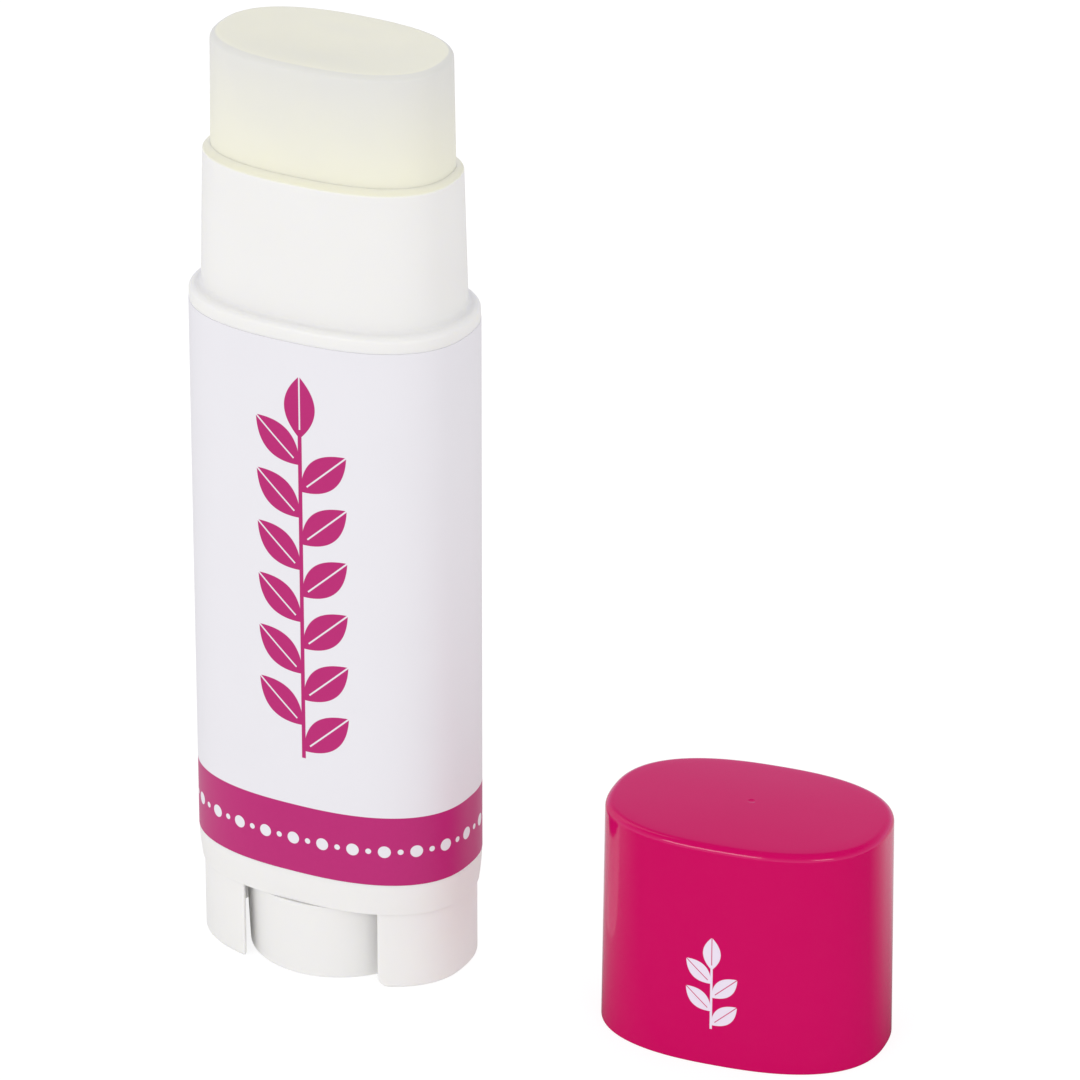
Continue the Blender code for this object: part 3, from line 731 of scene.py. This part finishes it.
# Moulded plastic: sizes of its slow changes, flow marks and grain
TONE_GRAIN = 0.006
TONE_DARK_SHARE = 0.975
GLOSS_GRAIN = 0.0015
GLOSS_SPREAD = 0.03
FLOW_GRAIN = 0.003
FLOW_DEPTH = 0.000004
FLOW_STRETCH_SHARES = (1.0, 1.0, 0.15)
FINE_GRAIN = 0.00012
BARREL_ROUGHNESS = 0.34
WHEEL_ROUGHNESS = 0.40
CARRIER_ROUGHNESS = 0.45
CAP_ROUGHNESS = 0.10
WHITE_GLOSS = 0.35
CAP_GLOSS = 0.50
WHITE_SCATTER_SHARE = 0.30
WHITE_SCATTER = (0.0004, 0.0004, 0.0003)
# Painted shade on the barrel's up-facing surfaces: how far up they face where it starts and is full, and
# how dark it makes them.
LEDGE_SHADE_FACING_SHARES = (0.10, 0.60)
LEDGE_SHADE_SHARE = 0.97
BARREL_GRAIN_DEPTH = 0.0000015
WHEEL_GRAIN_DEPTH = 0.0000020
CAP_GRAIN_DEPTH = 0.0000004


def plastic(name, colour, roughness, gloss, grain_depth):
    """Moulded plastic: slow shifts of tone and gloss, flow marks and a fine grain."""
    graph = Graph(bpy.data.materials.new(name))
    shader = graph.shader
    tone = graph.noise(TONE_GRAIN, SMOOTH_DETAIL)
    shade = graph.mix(tone, opaque(colour, TONE_DARK_SHARE), opaque(colour))
    graph.feed(shader.inputs["Base Color"], shade)
    graph.feed(shader.inputs["Roughness"], graph.vary(graph.noise(GLOSS_GRAIN), roughness, GLOSS_SPREAD))
    shader.inputs["Specular IOR Level"].default_value = gloss
    flow = graph.relief(graph.noise(FLOW_GRAIN, SMOOTH_DETAIL, FLOW_STRETCH_SHARES), FLOW_DEPTH)
    graph.feed(shader.inputs["Normal"], graph.relief(graph.noise(FINE_GRAIN), grain_depth, flow))
    return graph


def white_moulding(name, roughness, grain_depth):
    """White polypropylene, which light soaks into a little."""
    graph = plastic(name, WHITE_PLASTIC, roughness, WHITE_GLOSS, grain_depth)
    scatter_light(graph.shader, WHITE_SCATTER_SHARE, WHITE_SCATTER)
    return graph


def barrel_material():
    """The barrel's white plastic: with painted shade where it faces up, as on its shoulder, and waxy round
    the neck's rim.
    """
    graph = white_moulding("barrel_plastic", BARREL_ROUGHNESS, BARREL_GRAIN_DEPTH)
    # Painted shade: surfaces that face up, such as the shoulder, are made a little darker.
    ledge_shade = graph.ramp(graph.facing_up(), *LEDGE_SHADE_FACING_SHARES)
    body = graph.mix(ledge_shade, graph.colour(), opaque(WHITE_PLASTIC, LEDGE_SHADE_SHARE))
    _, _, height = graph.split(graph.place())
    smear = graph.ramp(height, NECK_RIM - NECK_RIM_FILLET, NECK_RIM)
    graph.feed(graph.shader.inputs["Base Color"], graph.mix(smear, body, opaque(BALM_YELLOW)))
    return graph.owner


def wheel_material():
    """The white plastic of the wheel and the screw, a little duller."""
    return white_moulding("wheel_plastic", WHEEL_ROUGHNESS, WHEEL_GRAIN_DEPTH).owner


def carrier_material():
    """The white plastic of the carrier inside, duller still."""
    return white_moulding("carrier_plastic", CARRIER_ROUGHNESS, WHEEL_GRAIN_DEPTH).owner


# Printed sprig: leaves in turn on both sides of a stem and one at its end
PRINT_SOFTNESS = 0.00004
LEAF_PITCH = 0.00420
LEAF_FOOT = 0.00060
LEAF_LENGTH = 0.00490
LEAF_HALF_WIDTH = 0.00125
LEAF_RISE_DEGREES = 42.0
LEAF_VEIN_HALF_WIDTH = 0.00006
LEAF_VEIN_START = 0.00070
STEM_HALF_WIDTH = 0.00016
STEM_OVERLAP = 0.00050


def leaf_ink(graph, along, across, size):
    """Ink of one leaf with a bare vein, from the places along and across its middle line."""
    half_width = LEAF_HALF_WIDTH * size
    share = graph.math("MULTIPLY_ADD", along, 2.0 / (LEAF_LENGTH * size), -1.0)
    width = graph.math("MULTIPLY_ADD", graph.math("MULTIPLY", share, share), -half_width, half_width)
    beside = graph.math("ABSOLUTE", across)
    blade = graph.edge(graph.math("SUBTRACT", width, beside), PRINT_SOFTNESS)
    vein = graph.edge(graph.math("SUBTRACT", LEAF_VEIN_HALF_WIDTH * size, beside), PRINT_SOFTNESS)
    beyond = graph.math("GREATER_THAN", along, LEAF_VEIN_START * size)
    bare = graph.math("MULTIPLY", vein, beyond)
    return graph.math("MULTIPLY", blade, graph.math("SUBTRACT", 1.0, bare))


def sprig_ink(graph, beside, height, leaves, size):
    """Ink of a sprig that grows up from height zero, with a number of leaves on each side."""
    pitch = LEAF_PITCH * size
    left = graph.math("LESS_THAN", beside, 0.0)
    climb = graph.math("MULTIPLY_ADD", left, -0.5 * pitch, height)
    started = graph.math("GREATER_THAN", climb, 0.0)
    whole = graph.math("MULTIPLY", started, graph.math("LESS_THAN", climb, pitch * leaves))
    up = graph.math("SUBTRACT", graph.math("WRAP", climb, pitch, 0.0), LEAF_FOOT * size)
    out = graph.math("ABSOLUTE", beside)
    rise = math.radians(LEAF_RISE_DEGREES)
    along = graph.math("MULTIPLY_ADD", out, math.cos(rise), graph.math("MULTIPLY", up, math.sin(rise)))
    across = graph.math("MULTIPLY_ADD", up, math.cos(rise), graph.math("MULTIPLY", out, -math.sin(rise)))
    sides = graph.math("MULTIPLY", leaf_ink(graph, along, across, size), whole)
    stem_top = pitch * leaves + LEAF_FOOT * size
    tip = leaf_ink(graph, graph.math("SUBTRACT", height, stem_top), beside, size)
    stem = graph.edge(graph.math("SUBTRACT", STEM_HALF_WIDTH * size, out), PRINT_SOFTNESS)
    above = graph.edge(height, PRINT_SOFTNESS)
    below = graph.edge(graph.math("SUBTRACT", stem_top + STEM_OVERLAP * size, height), PRINT_SOFTNESS)
    stem = graph.math("MULTIPLY", stem, graph.math("MULTIPLY", above, below))
    return graph.math("MAXIMUM", graph.math("MAXIMUM", sides, tip), stem)


# Printed label: band with beads at its foot, and the sprig up its front
BEAD_PITCH = 0.00240
BEAD_RADIUS = 0.00048
BEAD_SMALL_RADIUS = 0.00022
BAND_MIDDLE = 0.5 * (LABEL_LOW.z + BAND_TOP)
SPRIG_MIDDLE = 0.00100
SPRIG_FOOT = 0.01850
SPRIG_LEAVES = 6
FILM_TONE_GRAIN = 0.004
FILM_DARK_SHARE = 0.98
INK_GRAIN = 0.0003
INK_DARK_SHARE = 0.95
FILM_ROUGHNESS = 0.36
FILM_GLOSS_GRAIN = 0.0012
FILM_GLOSS = 0.30
FILM_WAVE = 0.002
FILM_WAVE_DEPTH = 0.000004
FILM_WAVE_STRETCH_SHARES = (1.0, 1.0, 0.5)
FILM_GRAIN = 0.00010
FILM_GRAIN_DEPTH = 0.0000008


def bead_ink(graph, across, height, shift, radius):
    """A row of round beads along the band's middle line, shifted along it."""
    bead_x = graph.math("PINGPONG", graph.math("ADD", across, shift), 0.5 * BEAD_PITCH)
    bead_z = graph.math("SUBTRACT", height, BAND_MIDDLE)
    square = graph.math("MULTIPLY_ADD", bead_x, bead_x, graph.math("MULTIPLY", bead_z, bead_z))
    return graph.edge(graph.math("SUBTRACT", radius, graph.math("SQRT", square)), PRINT_SOFTNESS)


def label_ink(graph):
    """The label's pink ink: the band without its beads, and the sprig."""
    across, height, _ = graph.print_place()
    band = graph.edge(graph.math("SUBTRACT", BAND_TOP, height), PRINT_SOFTNESS)
    large = bead_ink(graph, across, height, 0.0, BEAD_RADIUS)
    small = bead_ink(graph, across, height, 0.5 * BEAD_PITCH, BEAD_SMALL_RADIUS)
    bare = graph.math("SUBTRACT", 1.0, graph.math("MAXIMUM", large, small))
    beside = graph.math("SUBTRACT", across, SPRIG_MIDDLE)
    climb = graph.math("SUBTRACT", height, SPRIG_FOOT)
    sprig = sprig_ink(graph, beside, climb, SPRIG_LEAVES, 1.0)
    return graph.math("MAXIMUM", graph.math("MULTIPLY", band, bare), sprig)


def label_material():
    """Printed film: white ground, a pink band with a row of beads, and a sprig up the front."""
    graph = Graph(bpy.data.materials.new("label_film"))
    shader = graph.shader
    tone = graph.noise(FILM_TONE_GRAIN)
    white = graph.mix(tone, opaque(LABEL_WHITE, FILM_DARK_SHARE), opaque(LABEL_WHITE))
    pink = graph.mix(graph.noise(INK_GRAIN), opaque(PRINT_PINK, INK_DARK_SHARE), opaque(PRINT_PINK))
    graph.feed(shader.inputs["Base Color"], graph.mix(label_ink(graph), white, pink))
    gloss = graph.noise(FILM_GLOSS_GRAIN)
    graph.feed(shader.inputs["Roughness"], graph.vary(gloss, FILM_ROUGHNESS, GLOSS_SPREAD))
    shader.inputs["Specular IOR Level"].default_value = FILM_GLOSS
    wave = graph.noise(FILM_WAVE, SMOOTH_DETAIL, FILM_WAVE_STRETCH_SHARES)
    film = graph.relief(wave, FILM_WAVE_DEPTH)
    graph.feed(shader.inputs["Normal"], graph.relief(graph.noise(FILM_GRAIN), FILM_GRAIN_DEPTH, film))
    return graph.owner


# Balm finish
BALM_CLOUD = 0.004
BALM_CLOUD_SPREAD = 0.15
# Painted shade on the balm's rounded top edge: how far up it faces where the shade starts and where it is
# full.
BALM_EDGE_SHADE_FACING_SHARES = (0.05, 0.50)
BALM_DISH_FACING_SHARES = (0.90, 0.99)
BALM_DISH_YELLOW_SHARE = 0.70
BALM_ROUGHNESS = 0.45
BALM_GLOSS_GRAIN = 0.0010
BALM_GLOSS_SPREAD = 0.08
BALM_GLOSS = 0.25
BALM_SCATTER_SHARE = 0.4
BALM_SCATTER = (0.0006, 0.0006, 0.0005)
BALM_STREAK = 0.0016
BALM_STREAK_DEPTH = 0.000010
BALM_STREAK_STRETCH_SHARES = (1.0, 1.0, 0.35)
BALM_GRAIN = 0.00025
BALM_GRAIN_DEPTH = 0.000003


def balm_material():
    """Poured wax: cloudy, soft in its gloss, yellower in its dish and towards the neck, and with painted
    shade on its rounded top edge.
    """
    graph = Graph(bpy.data.materials.new("balm_wax"))
    shader = graph.shader
    _, _, height = graph.split(graph.place())
    low = graph.ramp(height, BALM_TOP - BALM_TOP_FILLET, NECK_RIM)
    flat = graph.ramp(graph.facing_up(), *BALM_DISH_FACING_SHARES)
    dish = graph.math("MULTIPLY", flat, BALM_DISH_YELLOW_SHARE)
    cloud = graph.vary(graph.noise(BALM_CLOUD, CLOUDY_DETAIL), 0.0, BALM_CLOUD_SPREAD)
    amount = graph.math("ADD", graph.math("MAXIMUM", low, dish), cloud, clamp=True)
    wax = graph.mix(amount, opaque(BALM_PALE), opaque(BALM_YELLOW))
    # Painted shade: the rounded top edge, between the wall and the dish, is made darker.
    edge = graph.math("SUBTRACT", graph.ramp(graph.facing_up(), *BALM_EDGE_SHADE_FACING_SHARES), flat)
    graph.feed(shader.inputs["Base Color"], graph.mix(edge, wax, opaque(BALM_EDGE_SHADE)))
    gloss = graph.noise(BALM_GLOSS_GRAIN)
    graph.feed(shader.inputs["Roughness"], graph.vary(gloss, BALM_ROUGHNESS, BALM_GLOSS_SPREAD))
    shader.inputs["Specular IOR Level"].default_value = BALM_GLOSS
    scatter_light(shader, BALM_SCATTER_SHARE, BALM_SCATTER)
    streaks = graph.relief(graph.noise(BALM_STREAK, stretch=BALM_STREAK_STRETCH_SHARES), BALM_STREAK_DEPTH)
    graph.feed(shader.inputs["Normal"], graph.relief(graph.noise(BALM_GRAIN), BALM_GRAIN_DEPTH, streaks))
    return graph.owner


# Sprig printed on the cap
MARK_MIDDLE = -0.00037
MARK_FOOT = 0.00305
MARK_LEAVES = 2
MARK_SIZE = 0.54
MARK_WHITE = (0.80, 0.72, 0.84)


def cap_material():
    """Deep pink glossy plastic with a small pale sprig printed on its front."""
    graph = plastic("cap_plastic", CAP_PINK, CAP_ROUGHNESS, CAP_GLOSS, CAP_GRAIN_DEPTH)
    across, height, depth = graph.print_place()
    beside = graph.math("SUBTRACT", across, MARK_MIDDLE)
    climb = graph.math("SUBTRACT", height, MARK_FOOT)
    front = graph.math("LESS_THAN", depth, -0.5 * CAP_MOUTH_HALF_Y)
    ink = graph.math("MULTIPLY", sprig_ink(graph, beside, climb, MARK_LEAVES, MARK_SIZE), front)
    graph.feed(graph.shader.inputs["Base Color"], graph.mix(ink, graph.colour(), opaque(MARK_WHITE)))
    return graph.owner


# Stage: floor, light and camera

FLOOR_HALF = 3.0
FLOOR_DROP = 0.00001
FLOOR_BOUNCE = (0.50, 0.50, 0.50, 1.0)
FLOOR_LIGHT = 0.48
FLOOR_FRONT_MIRRORED = (0.10, 0.10, 0.10, 1.0)
FLOOR_BACK_MIRRORED = (0.72, 0.72, 0.72, 1.0)
FLOOR_BACK_LEAN = 0.60
FLOOR_BACK_START = -0.024
FLOOR_BACK_END = 0.006
FLOOR_SHADE = (0.22, 0.22, 0.22, 1.0)
FLOOR_GLOW = 0.84
WORLD_WHITE = (1.0, 1.0, 1.0, 1.0)
HORIZON_LIGHT = 0.77
ZENITH_LIGHT = 1.00
HORIZON_MIRRORED = 0.95
CEILING_MIRRORED = 0.05
CEILING_START = 0.80
MIRRORED_TINT = (0.85, 0.88, 1.25, 1.0)
LIGHT_AIM = Vector((0.015, 0.0, 0.035))
KEY_PLACE = Vector((-0.15, -0.68, 0.43))
KEY_SIZE = (0.48, 0.15)
KEY_POWER = 1.13
FILL_PLACE = Vector((0.570, -0.450, 0.400))
FILL_SIZE = (0.26, 0.18)
FILL_POWER = 0.40


def lit_paper(graph, colour, light):
    """Paper of a colour that also gives off light of its own."""
    paper = graph.nodes.new("ShaderNodeBsdfDiffuse")
    graph.feed(paper.inputs["Color"], colour)
    glow = graph.nodes.new("ShaderNodeEmission")
    graph.feed(glow.inputs["Strength"], light)
    both = graph.nodes.new("ShaderNodeAddShader")
    graph.links.new(paper.outputs[0], both.inputs[0])
    graph.links.new(glow.outputs[0], both.inputs[1])
    return both.outputs[0]


def floor_material():
    """Paper that shows as white, lights the part softly, and mirrors dim in front and pale behind."""
    graph = Graph(bpy.data.materials.new("floor_paper"))
    graph.nodes.remove(graph.shader)
    across, back, _ = graph.split(graph.place())
    leaning = graph.math("MULTIPLY_ADD", across, -FLOOR_BACK_LEAN, back)
    behind = graph.ramp(leaning, FLOOR_BACK_START, FLOOR_BACK_END)
    reflection = graph.mix(behind, FLOOR_FRONT_MIRRORED, FLOOR_BACK_MIRRORED)
    bounce = graph.mix(graph.mirrored(), FLOOR_BOUNCE, reflection)
    unmirrored = graph.math("SUBTRACT", 1.0, graph.mirrored())
    table = lit_paper(graph, bounce, graph.math("MULTIPLY", unmirrored, FLOOR_LIGHT))
    choice = graph.nodes.new("ShaderNodeMixShader")
    graph.links.new(graph.seen(), choice.inputs[0])
    graph.links.new(table, choice.inputs[1])
    graph.links.new(lit_paper(graph, FLOOR_SHADE, FLOOR_GLOW), choice.inputs[2])
    graph.links.new(choice.outputs[0], graph.nodes["Material Output"].inputs["Surface"])
    return graph.owner


def build_floor():
    """A plain pale floor under the part."""
    work = bmesh.new()
    corners = ((-1, -1), (1, -1), (1, 1), (-1, 1))
    work.faces.new([work.verts.new((FLOOR_HALF * x, FLOOR_HALF * y, -FLOOR_DROP)) for x, y in corners])
    floor = add_object("floor", work)
    floor.data.materials.append(floor_material())


def light_world():
    """A pale room that shows as white, with a dark ceiling and a cool tint in what gloss mirrors."""
    world = bpy.data.worlds.new("studio")
    bpy.context.scene.world = world
    graph = Graph(world)
    _, _, upward = graph.split(graph.nodes.new("ShaderNodeTexCoord").outputs["Generated"])
    overhead = graph.ramp(upward, 0.0, 1.0)
    light = graph.math("MULTIPLY_ADD", overhead, ZENITH_LIGHT - HORIZON_LIGHT, HORIZON_LIGHT)
    ceiling = graph.ramp(upward, 0.0, CEILING_START)
    gloss = graph.math("MULTIPLY_ADD", ceiling, CEILING_MIRRORED - HORIZON_MIRRORED, HORIZON_MIRRORED)
    change = graph.math("MULTIPLY", graph.mirrored(), graph.math("SUBTRACT", gloss, light))
    strength = graph.math("MAXIMUM", graph.math("ADD", light, change), graph.seen())
    background = graph.nodes["Background"]
    graph.feed(background.inputs["Color"], graph.mix(graph.mirrored(), WORLD_WHITE, MIRRORED_TINT))
    graph.feed(background.inputs["Strength"], strength)


def softbox(name, place, size, power):
    """A rectangular studio light that faces the part."""
    lamp = bpy.data.lights.new(name, "AREA")
    lamp.shape = "RECTANGLE"
    lamp.size, lamp.size_y = size
    lamp.energy = power
    holder = bpy.data.objects.new(name, lamp)
    bpy.context.scene.collection.objects.link(holder)
    holder.location = place
    holder.rotation_euler = (LIGHT_AIM - place).to_track_quat("-Z", "Y").to_euler()


def build_lights():
    """A wide key at the front, a little to the left, and a weaker fill at the front right."""
    softbox("key", KEY_PLACE, KEY_SIZE, KEY_POWER)
    softbox("fill", FILL_PLACE, FILL_SIZE, FILL_POWER)


def build_camera():
    """The camera at the photograph's viewing angle."""
    data = bpy.data.cameras.new("camera")
    data.sensor_width = CAMERA_SENSOR_MM
    data.lens = CAMERA_LENS_MM
    data.clip_start = CAMERA_NEAR
    data.clip_end = CAMERA_FAR
    camera = bpy.data.objects.new("camera", data)
    bpy.context.scene.collection.objects.link(camera)
    azimuth = math.radians(CAMERA_AZIMUTH_DEGREES)
    elevation = math.radians(CAMERA_ELEVATION_DEGREES)
    level = math.cos(elevation)
    back = Vector((math.sin(azimuth) * level, -math.cos(azimuth) * level, math.sin(elevation)))
    turn = (-back).to_track_quat("-Z", "Y").to_matrix().to_4x4()
    roll = Matrix.Rotation(math.radians(CAMERA_ROLL_DEGREES), 4, "Z")
    camera.matrix_world = Matrix.Translation(CAMERA_TARGET + CAMERA_DISTANCE * back) @ turn @ roll
    bpy.context.scene.camera = camera


# Build

def dress_carrier():
    """Give the carrier, which stays as packed, its own finish."""
    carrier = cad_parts["carrier"]
    carrier.data.materials.clear()
    carrier.data.materials.append(carrier_material())


def main():
    """Build every piece, the stage, the light and the camera."""
    finish_piece(build_barrel(), "barrel", ["barrel"], barrel_material())
    finish_piece(build_label(), "barrel", ["label"], label_material())
    finish_piece(build_thumbwheel(), "wheel", ["thumbwheel_screw"], wheel_material())
    finish_piece(build_balm(), "carrier", ["balm"], balm_material())
    finish_piece(build_cap(), "cap", ["cap"], cap_material())
    dress_carrier()
    build_floor()
    light_world()
    build_lights()
    build_camera()
    bpy.context.scene.view_settings.view_transform = "Standard"


main()
